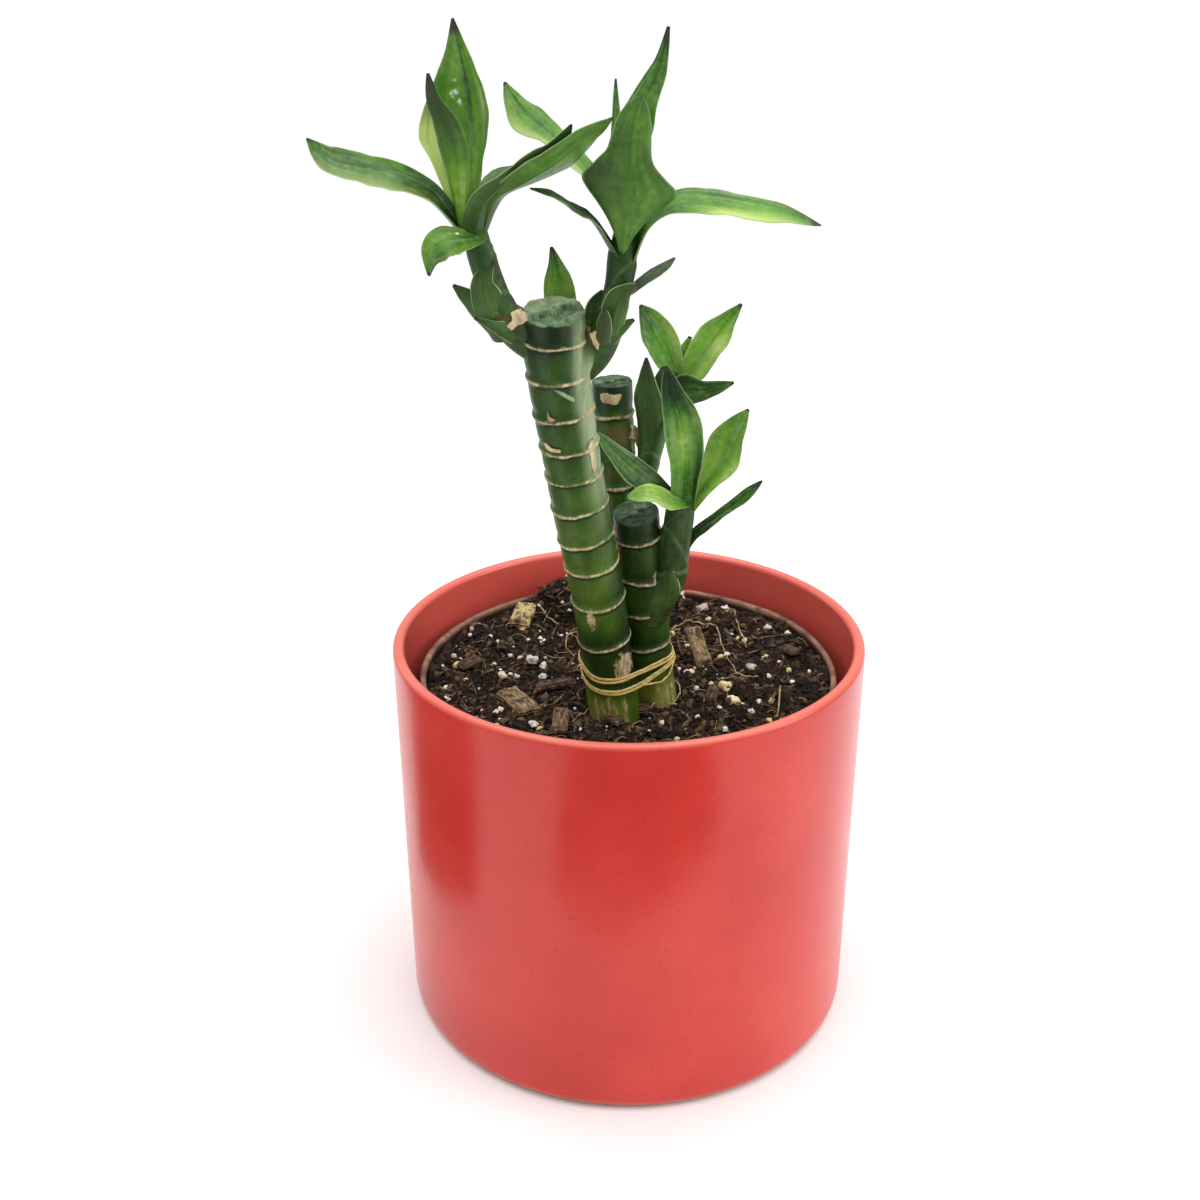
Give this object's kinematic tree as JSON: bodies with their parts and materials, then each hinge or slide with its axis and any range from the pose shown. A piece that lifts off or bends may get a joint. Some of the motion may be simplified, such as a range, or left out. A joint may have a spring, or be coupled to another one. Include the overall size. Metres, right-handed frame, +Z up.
{
  "type": "potted lucky bamboo plant",
  "caption": "Lucky bamboo: ringed green canes with leafy side shoots, tied together at the base and standing in soil in a round red glazed pot.",
  "frame": {"origin": "centre of the pot's flat foot, on the surface that the pot stands on", "axes": "+Z up the pot and the canes; -Y is the side that the shoots lean towards; +X to its right"},
  "size_m": [0.1318, 0.128, 0.2691],
  "materials": {
    "glazed_red": "gloss",
    "liner_brown": "satin",
    "soil": "matte",
    "cane_green": "satin",
    "shoot_green": "satin",
    "leaf_green": "satin",
    "straw": "matte",
    "bark": "matte"
  },
  "bodies": {
    "root": {"pot": "glazed_red", "liner": "liner_brown", "cane_tall": "cane_green", "cane_middle": "cane_green", "cane_short": "cane_green", "soil": "soil", "shoot_left": "shoot_green", "shoot_right": "shoot_green", "shoot_middle": "shoot_green", "shoot_short": "shoot_green", "leaf_left_tall": "leaf_green", "leaf_left_folded": "leaf_green", "leaf_left_far": "leaf_green", "leaf_left_dark": "leaf_green", "leaf_left_sweep": "leaf_green", "leaf_left_curled": "leaf_green", "leaf_left_back": "leaf_green", "leaf_right_broad": "leaf_green", "leaf_right_up": "leaf_green", "leaf_right_narrow": "leaf_green", "leaf_right_crossing": "leaf_green", "leaf_right_far": "leaf_green", "leaf_right_edge": "leaf_green", "leaf_right_small": "leaf_green", "leaf_bud": "leaf_green", "leaf_middle_upright": "leaf_green", "leaf_middle_right": "leaf_green", "leaf_middle_low": "leaf_green", "leaf_middle_inner": "leaf_green", "leaf_short_tall": "leaf_green", "leaf_short_right": "leaf_green", "leaf_short_dark": "leaf_green", "leaf_short_curled": "leaf_green", "leaf_short_low": "leaf_green", "tie": "straw", "bark_chip_right": "bark", "bark_chip_left": "bark", "bark_chip_front": "bark", "bark_chip_back": "bark"}
  },
  "joints": []
}
